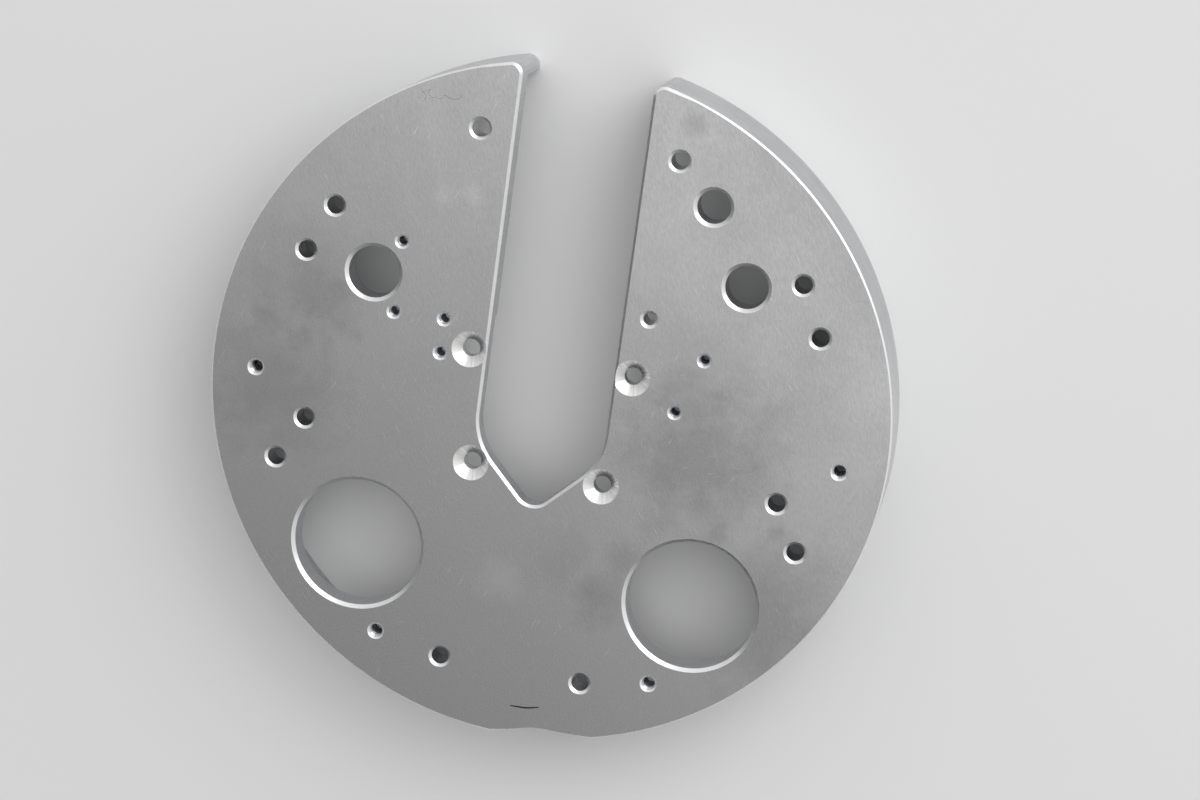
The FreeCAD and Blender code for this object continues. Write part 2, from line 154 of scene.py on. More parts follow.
def polar(circle: float, angle: float) -> tuple[float, float]:
    """Return x, y of a point on a circle of a diameter, angle from the slot's mouth."""
    turn = math.radians(angle)
    return circle / 2 * math.sin(turn), circle / 2 * math.cos(turn)


def all_holes() -> list[Hole]:
    """List every hole, the mirrored pairs first."""
    holes: list[Hole] = []
    paired = [
        (207.0, (20.35, 65.4, 110.2, 165.1), 3.2, 4.2, HoleKind.PLAIN, 0.0),
        (209.6, (54.5,), 3.2, 4.2, HoleKind.PLAIN, 0.0),
        (179.8, (102.25,), 3.2, 4.2, HoleKind.PLAIN, 0.0),
        (69.0, (60.2, 135.3), 3.2, 6.6, HoleKind.SUNK, 0.0),
        (177.4, (135.0,), 24.0, 25.25, HoleKind.BORE, 0.0),
        (216.4, (91.8, 151.4), 2.1, 3.2, HoleKind.TAPPED, 0.8),
    ]
    for circle, angles, radius, mouth, kind, pitch in paired:
        for angle in angles:
            x, y = polar(circle, angle)
            for side in (x, -x):
                holes.append(Hole(side, y, radius, mouth, kind, pitch))
    single = [
        (-68.4, 39.1, 9.5, 10.75, HoleKind.BORE, 0.0),
        (65.7, 56.5, 7.7, 8.95, HoleKind.BORE, 0.0),
        (50.1, 82.9, 6.0, 7.25, HoleKind.BORE, 0.0),
        (33.15, 39.35, 2.25, 3.35, HoleKind.PLAIN, 0.0),
        (-59.2, 52.1, 1.65, 2.8, HoleKind.TAPPED, 0.7),
        (-59.2, 26.1, 1.65, 2.8, HoleKind.TAPPED, 0.7),
        (-40.5, 26.6, 1.65, 2.8, HoleKind.TAPPED, 0.7),
        (-40.5, 14.1, 1.65, 2.8, HoleKind.TAPPED, 0.7),
        (54.8, 28.1, 1.65, 2.8, HoleKind.TAPPED, 0.7),
        (47.0, 7.5, 1.65, 2.8, HoleKind.TAPPED, 0.7),
    ]
    holes.extend(Hole(*row) for row in single)
    return holes


@dataclass
class Rim:
    """The disc's closed outline seen from the front, clockwise.

    Attributes:
        points: outline points in millimetres.
        chamfer: front chamfer width at each point.
        under: back break width at each point.
    """

    points: np.ndarray
    chamfer: np.ndarray
    under: np.ndarray

    @property
    def normals(self) -> np.ndarray:
        """Unit vectors that point from the outline into the metal."""
        ahead = np.roll(self.points, -1, axis=0) - self.points
        behind = self.points - np.roll(self.points, 1, axis=0)
        ahead /= np.linalg.norm(ahead, axis=1)[:, None]
        behind /= np.linalg.norm(behind, axis=1)[:, None]
        tangent = ahead + behind
        tangent /= np.linalg.norm(tangent, axis=1)[:, None]
        return np.stack([tangent[:, 1], -tangent[:, 0]], axis=1)


def sweep(centre: tuple[float, float], radius: float, first: float, last: float,
          step: float) -> list[tuple[float, float]]:
    """Sample an arc.

    Args:
        centre: its centre.
        radius: its radius.
        first, last: angles in degrees anticlockwise from +X.
        step: largest angle between points.

    Returns:
        The points, both ends among them.
    """
    count = max(2, int(abs(last - first) / step) + 1)
    turns = np.radians(np.linspace(first, last, count))
    return [(centre[0] + radius * math.cos(t), centre[1] + radius * math.sin(t))
            for t in turns]


def make_rim(size: Sizes) -> Rim:
    """Work out the disc's outline with its slot, mouth corners and relief."""
    rows: list[tuple[float, float, float, float]] = []

    def add(points: list[tuple[float, float]], chamfer: float, under: float) -> None:
        """Append points unless they repeat the last one."""
        for x, y in points:
            if rows and math.hypot(rows[-1][0] - x, rows[-1][1] - y) < 1e-4:
                continue
            rows.append((x, y, chamfer, under))

    mouth_x = size.slot_half + size.mouth_radius
    reach = size.radius - size.mouth_radius
    mouth_y = math.sqrt(reach ** 2 - mouth_x ** 2)
    start = math.degrees(math.atan2(mouth_y, mouth_x))
    flat = size.relief_depth - size.radius
    slope = math.radians(size.relief_slope)
    turn = size.relief_radius * math.tan(slope / 2)
    bend = (size.relief_end + turn, flat - size.relief_radius)
    right = math.degrees(math.asin(flat / size.radius))
    low = (bend[0] - size.relief_radius * math.sin(slope),
           bend[1] + size.relief_radius * math.cos(slope))
    along = (-math.cos(slope), -math.sin(slope))
    half_b = low[0] * along[0] + low[1] * along[1]
    gap = low[0] ** 2 + low[1] ** 2 - size.radius ** 2
    run = -half_b + math.sqrt(half_b ** 2 - gap)
    exit_point = (low[0] + run * along[0], low[1] + run * along[1])
    left = math.degrees(math.atan2(exit_point[1], exit_point[0]))

    add(sweep((0, 0), size.radius, start, right, 0.8), size.rim_break, size.skirt_break)
    relief = sweep(bend, size.relief_radius, 90.0, 90.0 + size.relief_slope, 2.0)
    add([(relief[0][0] + RELIEF_STEP, flat)], size.relief_break, 0.0)
    add(relief, size.relief_break, 0.0)
    middle = ((low[0] + exit_point[0]) / 2, (low[1] + exit_point[1]) / 2)
    add([middle], size.relief_break, 0.0)
    add(sweep((0, 0), size.radius, left, -180.0 - start, 0.8),
        size.rim_break, size.skirt_break)
    cut = math.sqrt(size.skirt_radius ** 2 - size.slot_half ** 2)
    edge = size.slot_chamfer
    add(sweep((-mouth_x, mouth_y), size.mouth_radius, 180.0 - start, 0.0, 5.0), edge, 0.0)
    add([(-size.slot_half, cut), (-size.slot_half, size.recess_top)], edge, 0.0)
    half = size.slot_half
    corner = half - size.vee_depth
    shoulder_y = corner + size.shoulder_radius * math.tan(math.pi / 8)
    inner = half - size.shoulder_radius
    add(sweep((-inner, shoulder_y), size.shoulder_radius, 180.0, 225.0, 2.5), edge, 0.0)
    tip = (0.0, -size.vee_depth + size.tip_radius * math.sqrt(2.0))
    add(sweep(tip, size.tip_radius, 225.0, 315.0, 4.0), edge, 0.0)
    add(sweep((inner, shoulder_y), size.shoulder_radius, -45.0, 0.0, 2.5), edge, 0.0)
    add([(half, size.recess_top), (half, cut)], edge, 0.0)
    add(sweep((mouth_x, mouth_y), size.mouth_radius, 180.0, start, 5.0)[:-1], edge, 0.0)

    table = np.array(rows)
    points, chamfer, under = table[:, :2], table[:, 2].copy(), table[:, 3].copy()
    end_x = mouth_x * size.radius / reach
    for index, (x, y) in enumerate(points):
        if y > 0 and abs(x) >= end_x - 1e-6:
            away = size.radius * abs(math.atan2(abs(x), y) - math.atan2(end_x, mouth_y))
            fade = size.slot_chamfer - away ** 2 / (2 * size.radius)
            chamfer[index] = max(size.rim_break, fade)
    LOG.info("outline: %d points", len(points))
    return Rim(points, chamfer, under)


SKINS: dict[Skin, bpy.types.Material] = {}


class Shell:
    """Collects the plate's surfaces and turns them into one mesh."""

    def __init__(self) -> None:
        self.spots: list[tuple[float, float, float]] = []
        self.faces: list[tuple[int, ...]] = []
        self.skins: list[int] = []
        self.uvs: list[list[tuple[float, float]]] = []

    def ring(self, points: np.ndarray, heights: np.ndarray | float) -> list[int]:
        """Add a row of points and return their numbers."""
        high = np.broadcast_to(np.asarray(heights, float), (len(points),))
        first = len(self.spots)
        for (x, y), z in zip(points, high):
            self.spots.append((x * MM, y * MM, z * MM))
        return list(range(first, first + len(points)))

    def strip(self, top: list[int], low: list[int], skin: Skin, closed: bool,
              flip: bool = False) -> None:
        """Join two rows of equal length with quads.

        Args:
            top, low: point numbers of the rows.
            skin: the surface's finish.
            closed: whether the rows close on themselves.
            flip: turn the faces over.
        """
        count = len(top)
        travel = 0.0
        rim = (Sizes().radius - RIM_MARGIN) * MM
        for index in range(count if closed else count - 1):
            after = (index + 1) % count
            a, b, c, d = top[index], top[after], low[after], low[index]
            length = math.dist(self.spots[a], self.spots[b])
            drop = math.dist(self.spots[a], self.spots[d])
            uv = [(travel, 0.0), (travel + length, 0.0), (travel + length, drop),
                  (travel, drop)]
            face = [a, b, c, d]
            if flip:
                face.reverse()
                uv.reverse()
            self.faces.append(tuple(face))
            self.uvs.append(uv)
            turned = skin is Skin.WALL and self.reach(a) > rim and self.reach(b) > rim
            self.skins.append((Skin.RIM if turned else skin).value)
            travel += length

    def reach(self, number: int) -> float:
        """Distance of a point from the disc's axis in metres."""
        return math.hypot(*self.spots[number][:2])

    def cap(self, loops: list[list[int]], skin: Skin, up: bool) -> None:
        """Fill the area between an outer loop and its holes with triangles."""
        flat: list[int] = [number for loop in loops for number in loop]
        places = [Vector(self.spots[number][:2]) * 1000.0 for number in flat]
        edges: list[tuple[int, int]] = []
        base = 0
        for loop in loops:
            count = len(loop)
            edges.extend((base + i, base + (i + 1) % count) for i in range(count))
            base += count
        _, _, made, source, _, _ = delaunay_2d_cdt(places, edges, [], 0, 1e-7)
        where = [group[0] if group else -1 for group in source]
        outlines = [np.array([self.spots[n][:2] for n in loop]) * 1000.0
                    for loop in loops]
        middles = np.array([np.mean([places[where[i]] for i in tri], axis=0)
                            for tri in made])
        inside = np.zeros(len(made), int)
        for outline in outlines:
            inside += self.within(outline, middles)
        for tri, hits in zip(made, inside):
            if hits != 1:
                continue
            face = [flat[where[i]] for i in tri]
            a, b, c = (Vector(self.spots[n]) for n in face)
            if ((b - a).cross(c - a).z > 0) != up:
                face.reverse()
            self.faces.append(tuple(face))
            self.uvs.append([self.spots[n][:2] for n in face])
            self.skins.append(skin.value)

    @staticmethod
    def within(outline: np.ndarray, spots: np.ndarray) -> np.ndarray:
        """Say for each spot whether it lies inside an outline, as 0 or 1."""
        x, y = spots[:, 0][:, None], spots[:, 1][:, None]
        ax, ay = outline[:, 0][None], outline[:, 1][None]
        bx, by = np.roll(ax, -1, axis=1), np.roll(ay, -1, axis=1)
        spans = (ay > y) != (by > y)
        with np.errstate(divide="ignore", invalid="ignore"):
            cross = (bx - ax) * (y - ay) / (by - ay) + ax
        return (np.sum(spans & (x < cross), axis=1) % 2).astype(int)

    def build(self, name: str) -> bpy.types.Object:
        """Make the object, with smooth faces and sharp edges."""
        mesh = bpy.data.meshes.new(name)
        mesh.from_pydata(self.spots, [], self.faces)
        layer = mesh.uv_layers.new(name="surface")
        flat = [c for face in self.uvs for uv in face for c in uv]
        layer.data.foreach_set("uv", flat)
        mesh.polygons.foreach_set("material_index", self.skins)
        mesh.validate()
        work = bmesh.new()
        work.from_mesh(mesh)
        bmesh.ops.remove_doubles(work, verts=work.verts, dist=MERGE_REACH)
        bmesh.ops.recalc_face_normals(work, faces=work.faces)
        work.to_mesh(mesh)
        work.free()
        for skin in Skin:
            mesh.materials.append(SKINS[skin])
        soften(mesh, SHARP_ANGLE)
        piece = bpy.data.objects.new(name, mesh)
        bpy.context.scene.collection.objects.link(piece)
        LOG.info("%s: %d faces", name, len(mesh.polygons))
        return piece


def soften(mesh: bpy.types.Mesh, angle: float) -> None:
    """Shade a mesh smooth with edges sharp above an angle in degrees."""
    mesh.polygons.foreach_set("use_smooth", [True] * len(mesh.polygons))
    mesh.set_sharp_from_angle(angle=math.radians(angle))
    mesh.update()


def subtract(piece: bpy.types.Object, cutter: bpy.types.Object) -> bpy.types.Object:
    """Cut one object out of another and remove the cutter."""
    modifier = piece.modifiers.new("cut", "BOOLEAN")
    modifier.operation = "DIFFERENCE"
    modifier.solver = "EXACT"
    modifier.object = cutter
    bpy.context.view_layer.update()
    graph = bpy.context.evaluated_depsgraph_get()
    mesh = bpy.data.meshes.new_from_object(piece.evaluated_get(graph))
    piece.modifiers.clear()
    piece.data = mesh
    bpy.data.objects.remove(cutter)
    soften(mesh, SHARP_ANGLE)
    LOG.info("%s: %d faces after the countersinks", piece.name, len(mesh.polygons))
    return piece


class Plate:
    """Builds the disc's surfaces from its outline and holes."""

    def __init__(self, size: Sizes, holes: list[Hole]) -> None:
        self.size = size
        self.holes = holes
        self.rim = make_rim(size)
        self.shell = Shell()

    def recess_outline(self) -> np.ndarray:
        """Return the recess's outline from the slot's left side round to its right."""
        size = self.size
        side, top, low, r = (size.recess_half, size.recess_top, size.recess_low,
                             size.recess_corner)
        rows: list[tuple[float, float]] = [(-size.slot_half, top)]
        rows += sweep((-side + r, top - r), r, 90.0, 180.0, 9.0)
        rows += sweep((-side + r, low + r), r, 180.0, 270.0, 9.0)
        rows += sweep((side - r, low + r), r, 270.0, 360.0, 9.0)
        rows += sweep((side - r, top - r), r, 0.0, 90.0, 9.0)
        rows.append((size.slot_half, top))
        return np.array(rows)

    def index_of(self, x: float, y: float) -> int:
        """Number of the outline point nearest a place."""
        away = np.linalg.norm(self.rim.points - np.array([x, y]), axis=1)
        return int(np.argmin(away))

    def span(self, first: int, last: int) -> list[int]:
        """Outline point numbers from first to last, going round if needed."""
        count = len(self.rim.points)
        length = (last - first) % count
        return [(first + step) % count for step in range(length + 1)]

    def build(self) -> bpy.types.Object:
        """Make every surface and return the finished piece."""
        size, rim, shell = self.size, self.rim, self.shell
        top, back = size.depth, size.depth - size.web
        deep = back + size.recess_depth
        cut = math.sqrt(size.skirt_radius ** 2 - size.slot_half ** 2)
        half = size.slot_half
        points, normals = rim.points, rim.normals
        right_cut, left_cut = self.index_of(half, cut), self.index_of(-half, cut)
        left_top = self.index_of(-half, size.recess_top)
        right_top = self.index_of(half, size.recess_top)

        front = shell.ring(points + normals * rim.chamfer[:, None], top)
        lip = shell.ring(points, top - rim.chamfer)
        shelf = shell.ring(points, deep)
        shell.strip(front, lip, Skin.CHAMFER, True, flip=True)
        shell.strip(lip, shelf, Skin.WALL, True, flip=True)

        web = shell.ring(points, back)
        dry = self.span(right_top, left_top)
        shell.strip([shelf[i] for i in dry], [web[i] for i in dry], Skin.WALL, False,
                    flip=True)
        skirt = self.span(right_cut, left_cut)
        outer = points[skirt]
        under = rim.under[skirt]
        above_break = shell.ring(outer, size.skirt_break)
        shell.strip([web[i] for i in skirt], above_break, Skin.WALL, False, flip=True)
        foot = shell.ring(outer + normals[skirt] * under[:, None], 0.0)
        shell.strip(above_break, foot, Skin.CHAMFER, False, flip=True)

        first = math.degrees(math.atan2(cut, half))
        ring = np.array(sweep((0, 0), size.skirt_radius, first, -180.0 - first, 1.0))
        inner_top = shell.ring(ring, back)
        inner_low = shell.ring(ring, size.skirt_break)
        grown = ring * ((size.skirt_radius + size.skirt_break) / size.skirt_radius)
        inner_foot = shell.ring(grown, 0.0)
        shell.strip(inner_top, inner_low, Skin.BACK, False)
        shell.strip(inner_low, inner_foot, Skin.CHAMFER, False)
        shell.cap([foot + inner_foot[::-1]], Skin.BACK, up=False)
        for end in (0, -1):
            shell.faces.append((inner_low[end], foot[end], inner_foot[end]))
            shell.uvs.append([(0.0, 0.0), (0.0, 0.001), (0.001, 0.001)])
            shell.skins.append(Skin.CHAMFER.value)

        recess = self.recess_outline()
        step_top = shell.ring(recess, deep)
        step_low = shell.ring(recess, back)
        shell.strip(step_top, step_low, Skin.BACK, False, flip=True)

        wet = self.span(left_top, right_top)
        mouths, webs, pockets = [front], [], []
        sunk = [hole for hole in self.holes if hole.kind is HoleKind.SUNK]
        for hole in self.holes:
            if hole in sunk:
                continue
            mouth, low = self.drill(hole)
            mouths.append(mouth)
            inside = self.shell.within(recess, np.array([[hole.x, hole.y]]))[0]
            (pockets if inside else webs).append(low)
        shell.cap(mouths, Skin.FACE, up=True)
        left_side = [web[i] for i in self.span(left_cut, left_top)]
        right_side = [web[i] for i in self.span(right_top, right_cut)]
        border = inner_top[1:-1] + left_side + step_low[1:-1] + right_side
        shell.cap([border] + webs, Skin.BACK, up=False)
        shell.cap([[shelf[i] for i in wet] + step_top[::-1][1:-1]] + pockets,
                  Skin.BACK, up=False)
        return subtract(shell.build("machined_disc"), self.countersinks(sunk))

    def countersinks(self, sunk: list[Hole]) -> bpy.types.Object:
        """Make the solid that cuts the countersunk holes, which run into the slot."""
        size, shell = self.size, Shell()
        for hole in sunk:
            turns = np.linspace(0.0, -2 * math.pi, hole.steps * 2, endpoint=False)
            unit = np.stack([np.cos(turns), np.sin(turns)], axis=1)
            centre = np.array([hole.x, hole.y])
            rows = []
            for radius, height in (
                    (hole.mouth + CUTTER_OVERRUN, size.depth + CUTTER_OVERRUN),
                    (hole.radius, size.depth - hole.mouth + hole.radius),
                    (hole.radius, size.depth - size.web - CUTTER_OVERRUN)):
                rows.append(shell.ring(centre + unit * radius, height))
            shell.strip(rows[0], rows[1], Skin.CONE, True, flip=True)
            shell.strip(rows[1], rows[2], Skin.BORE, True, flip=True)
            shell.cap([rows[0]], Skin.CONE, up=True)
            shell.cap([rows[2]], Skin.BORE, up=False)
        return shell.build("countersink_cutter")

    def drill(self, hole: Hole) -> tuple[list[int], list[int]]:
        """Make the chamfer and wall of a hole that is not countersunk.

        Returns:
            The rows of points at the front face and at the back.
        """
        size, shell = self.size, self.shell
        turns = np.linspace(0.0, -2 * math.pi, hole.steps, endpoint=False)
        unit = np.stack([np.cos(turns), np.sin(turns)], axis=1)
        centre = np.array([hole.x, hole.y])
        top, back = size.depth, size.depth - size.web
        inside = self.shell.within(self.recess_outline(), centre[None])[0]
        end = back + size.recess_depth if inside else back
        mouth = shell.ring(centre + unit * hole.mouth, top)
        neck = shell.ring(centre + unit * hole.wall, top - (hole.mouth - hole.wall))
        low = shell.ring(centre + unit * hole.wall, end)
        shell.strip(mouth, neck, Skin.CHAMFER, True)
        shell.strip(neck, low, Skin.BORE, True)
        return mouth, low


@dataclass(frozen=True)
class Finish:
    """How one kind of surface looks.

    Attributes:
        color: base colour of the metal; darker and bluish on walls, bores, rim and back as
            painted shade and reflection, brighter on chamfers and cones as painted highlight.
        dull: reflectance of its darker patches.
        roughness: base roughness.
        spread: how far patches change the roughness.
        grain: strength of the fine lines' relief.
        stretch: scale of the fine lines along x, y and z.
        turn: direction of the fine lines in degrees.
        anisotropic: how far highlights are drawn out across the lines.
    """

    color: tuple[float, float, float]
    dull: tuple[float, float, float]
    roughness: float
    spread: float
    grain: float
    stretch: tuple[float, float, float]
    turn: float
    anisotropic: float


# The same aluminium gets a darker, bluish colour on walls, bores, rim and back as painted
# shade and reflection, and a brighter one on chamfers and cones as painted highlight.
FINISHES_WITH_PAINTED_LIGHT: dict[Skin, Finish] = {
    Skin.FACE: Finish((0.80, 0.80, 0.80), (0.60, 0.60, 0.605), 0.27, 0.05, 0.06,
                      (1500.0, 420.0, 60.0), -18.0, 0.0),
    Skin.CHAMFER: Finish((0.88, 0.88, 0.88), (0.74, 0.74, 0.75), 0.36, 0.06, 0.10,
                         (300.0, 300.0, 4000.0), 0.0, 0.0),
    Skin.WALL: Finish((0.64, 0.65, 0.665), (0.44, 0.45, 0.47), 0.32, 0.10, 0.30,
                      (1400.0, 1400.0, 40.0), 0.0, 0.0),
    Skin.BORE: Finish((0.66, 0.67, 0.69), (0.48, 0.50, 0.53), 0.26, 0.08, 0.30,
                      (60.0, 60.0, 3200.0), 0.0, 0.0),
    Skin.CONE: Finish((0.92, 0.92, 0.91), (0.66, 0.66, 0.66), 0.28, 0.05, 0.15,
                      (60.0, 60.0, 4200.0), 0.0, 0.6),
    Skin.RIM: Finish((0.62, 0.63, 0.64), (0.44, 0.45, 0.465), 0.32, 0.08, 0.30,
                     (30.0, 30.0, 2600.0), 0.0, 0.0),
    Skin.BACK: Finish((0.60, 0.61, 0.62), (0.48, 0.49, 0.50), 0.38, 0.08, 0.15,
                      (900.0, 900.0, 900.0), 0.0, 0.0),
}


class Graph:
    """Small helper that adds and joins nodes of one tree."""

    def __init__(self, tree: bpy.types.NodeTree) -> None:
        self.tree = tree
        self.nodes = tree.nodes
        self.column = 0

    def add(self, kind: str, inputs: dict | None = None, **settings) -> bpy.types.Node:
        """Add a node.

        Args:
            kind: the node's type name.
            inputs: values or output sockets by input name or number.
            settings: properties of the node.

        Returns:
            The node.
        """
        node = self.nodes.new(kind)
        self.column += 1
        node.location = (self.column * 180.0, -(self.column % 4) * 160.0)
        for key, value in settings.items():
            setattr(node, key, value)
        for key, value in (inputs or {}).items():
            socket = node.inputs[key]
            if isinstance(value, bpy.types.NodeSocket):
                self.tree.links.new(value, socket)
            else:
                socket.default_value = value
        return node

    def math(self, operation: str, a: bpy.types.NodeSocket | float,
             b: bpy.types.NodeSocket | float = 0.0) -> bpy.types.NodeSocket:
        """Add a Math node and return its result."""
        return self.add("ShaderNodeMath", {0: a, 1: b}, operation=operation).outputs[0]

    def ranged(self, value: bpy.types.NodeSocket, low: float, high: float,
               to_low: float = 0.0, to_high: float = 1.0) -> bpy.types.NodeSocket:
        """Map a value from one range to another, held at its ends."""
        node = self.add("ShaderNodeMapRange", {0: value, 1: low, 2: high, 3: to_low,
                                               4: to_high}, clamp=True)
        return node.outputs[0]


def new_group(name: str, inputs: list[tuple[str, str, object]],
              outputs: list[tuple[str, str]]) -> tuple[Graph, bpy.types.Node, bpy.types.Node]:
    """Start a shader group.

    Args:
        name: its name.
        inputs: name, socket type and default of each input.
        outputs: name and socket type of each output.

    Returns:
        The helper for its tree, its input node and its output node.
    """
    tree = bpy.data.node_groups.new(name, "ShaderNodeTree")
    for label, kind, default in inputs:
        socket = tree.interface.new_socket(label, in_out="INPUT", socket_type=kind)
        if default is not None:
            socket.default_value = default
    for label, kind in outputs:
        tree.interface.new_socket(label, in_out="OUTPUT", socket_type=kind)
    graph = Graph(tree)
    return graph, graph.add("NodeGroupInput"), graph.add("NodeGroupOutput")


def lines_group() -> bpy.types.NodeTree:
    """Fine parallel tool or brush lines.

    Returns:
        A group with a Stretch and a Turn input and a Fac output around 0.5.
    """
    graph, source, target = new_group(
        "FineLines",
        [("Stretch", "NodeSocketVector", (1.0, 1.0, 1.0)),
         ("Turn", "NodeSocketFloat", 0.0)],
        [("Fac", "NodeSocketFloat")])
    place = graph.add("ShaderNodeTexCoord").outputs["Object"]
    turned = graph.add("ShaderNodeVectorRotate",
                       {"Vector": place, "Angle": source.outputs["Turn"]},
                       rotation_type="Z_AXIS").outputs[0]
    scaled = graph.add("ShaderNodeVectorMath",
                       {0: turned, 1: source.outputs["Stretch"]},
                       operation="MULTIPLY").outputs[0]
    noise = graph.add("ShaderNodeTexNoise", {"Vector": scaled, "Scale": 1.0,
                                             "Detail": 3.0, "Roughness": 0.62})
    graph.tree.links.new(noise.outputs["Fac"], target.inputs["Fac"])
    return graph.tree


def patches_group() -> bpy.types.NodeTree:
    """Soft clouds left by handling and wiping, and small blotches.

    Returns:
        A group with a Scale input and a Fac output from 0 to 1.
    """
    graph, source, target = new_group(
        "HandlingPatches",
        [("Scale", "NodeSocketFloat", 14.0)],
        [("Fac", "NodeSocketFloat")])
    place = graph.add("ShaderNodeTexCoord").outputs["Object"]
    wide = graph.add("ShaderNodeTexNoise", {
        "Vector": place, "Scale": source.outputs["Scale"], "Detail": 4.0,
        "Roughness": 0.55, "Distortion": 0.6}).outputs["Fac"]
    big = graph.ranged(wide, 0.36, 0.66)
    finer = graph.math("MULTIPLY", source.outputs["Scale"], 9.0)
    small = graph.add("ShaderNodeTexNoise", {
        "Vector": place, "Scale": finer, "Detail": 5.0,
        "Roughness": 0.7}).outputs["Fac"]
    spots = graph.ranged(small, 0.3, 0.72)
    mixed = graph.add("ShaderNodeMix", {0: 0.35, 2: big, 3: spots}).outputs[0]
    graph.tree.links.new(mixed, target.inputs["Fac"])
    return graph.tree


def scratches_group() -> bpy.types.NodeTree:
    """Sparse short scratches in one direction.

    Returns:
        A group with Turn, Density and Seed inputs and a Fac output, 1 in a scratch.
    """
    graph, source, target = new_group(
        "Scratches",
        [("Turn", "NodeSocketFloat", 0.0), ("Density", "NodeSocketFloat", 0.5),
         ("Seed", "NodeSocketFloat", 0.0)],
        [("Fac", "NodeSocketFloat")])
    place = graph.add("ShaderNodeTexCoord").outputs["Object"]
    shifted = graph.add("ShaderNodeCombineXYZ", {2: source.outputs["Seed"]}).outputs[0]
    moved = graph.add("ShaderNodeVectorMath", {0: place, 1: shifted},
                      operation="ADD").outputs[0]
    turned = graph.add("ShaderNodeVectorRotate",
                       {"Vector": moved, "Angle": source.outputs["Turn"]},
                       rotation_type="Z_AXIS").outputs[0]
    scaled = graph.add("ShaderNodeVectorMath", {0: turned, 1: (3300.0, 130.0, 60.0)},
                       operation="MULTIPLY").outputs[0]
    dashes = graph.add("ShaderNodeTexNoise", {"Vector": scaled, "Scale": 1.0,
                                              "Detail": 1.0}).outputs["Fac"]
    thin = graph.ranged(dashes, 0.71, 0.76)
    patch = graph.add("ShaderNodeTexNoise", {"Vector": moved, "Scale": 42.0,
                                             "Detail": 2.0}).outputs["Fac"]
    limit = graph.math("SUBTRACT", 1.0, source.outputs["Density"])
    where = graph.math("SUBTRACT", patch, graph.math("MULTIPLY", limit, 0.62))
    gate = graph.ranged(where, 0.12, 0.26)
    result = graph.math("MULTIPLY", thin, gate)
    graph.tree.links.new(result, target.inputs["Fac"])
    return graph.tree


def blotch_group() -> bpy.types.NodeTree:
    """One smudge with a ragged edge.

    Returns:
        A group with Centre and Reach inputs in metres and a Fac output, 1 in its middle.
    """
    graph, source, target = new_group(
        "Blotch",
        [("Centre", "NodeSocketVector", (0.0, 0.0, 0.0)),
         ("Reach", "NodeSocketFloat", 0.01)],
        [("Fac", "NodeSocketFloat")])
    place = graph.add("ShaderNodeTexCoord").outputs["Object"]
    wander = graph.add("ShaderNodeTexNoise", {"Vector": place, "Scale": 95.0,
                                              "Detail": 4.0, "Roughness": 0.65})
    away = graph.add("ShaderNodeVectorMath", {0: place, 1: source.outputs["Centre"]},
                     operation="DISTANCE").outputs["Value"]
    share = graph.math("DIVIDE", away, source.outputs["Reach"])
    ragged = graph.math("ADD", share, graph.math("MULTIPLY", wander.outputs["Fac"], 1.6))
    result = graph.ranged(ragged, 1.0, 1.9, 1.0, 0.0)
    graph.tree.links.new(result, target.inputs["Fac"])
    return graph.tree


# Smudges on the front face: across and along in millimetres, reach, and how much
# darker (or, below zero, brighter) they are.
BLOTCHES = (
    (29.8, -66.8, 12.0, 0.16), (36.8, -50.1, 9.0, 0.14), (58.0, -6.0, 34.0, 0.24),
    (13.2, -56.0, 14.0, 0.08), (75.5, 35.7, 14.0, -0.08), (-8.0, -66.5, 10.0, -0.12),
    (39.0, 111.0, 5.5, 0.16), (-83.0, 26.2, 16.0, 0.08), (-45.5, 71.0, 5.0, -0.10),
    (-36.0, 73.5, 5.0, -0.10), (-100.0, -10.0, 30.0, 0.16),
    (92.0, -62.0, 34.0, 0.22), (-93.0, 32.0, 26.0, 0.14), (114.0, 28.0, 16.0, -0.08),
)

# Scratches on the front face: direction in degrees, how many, and a seed.
SCRATCHES = ((-38.0, 0.46, 0.0), (22.0, 0.40, 0.31), (74.0, 0.34, 0.77))
BRIGHT_METAL = (0.93, 0.93, 0.93, 1.0)


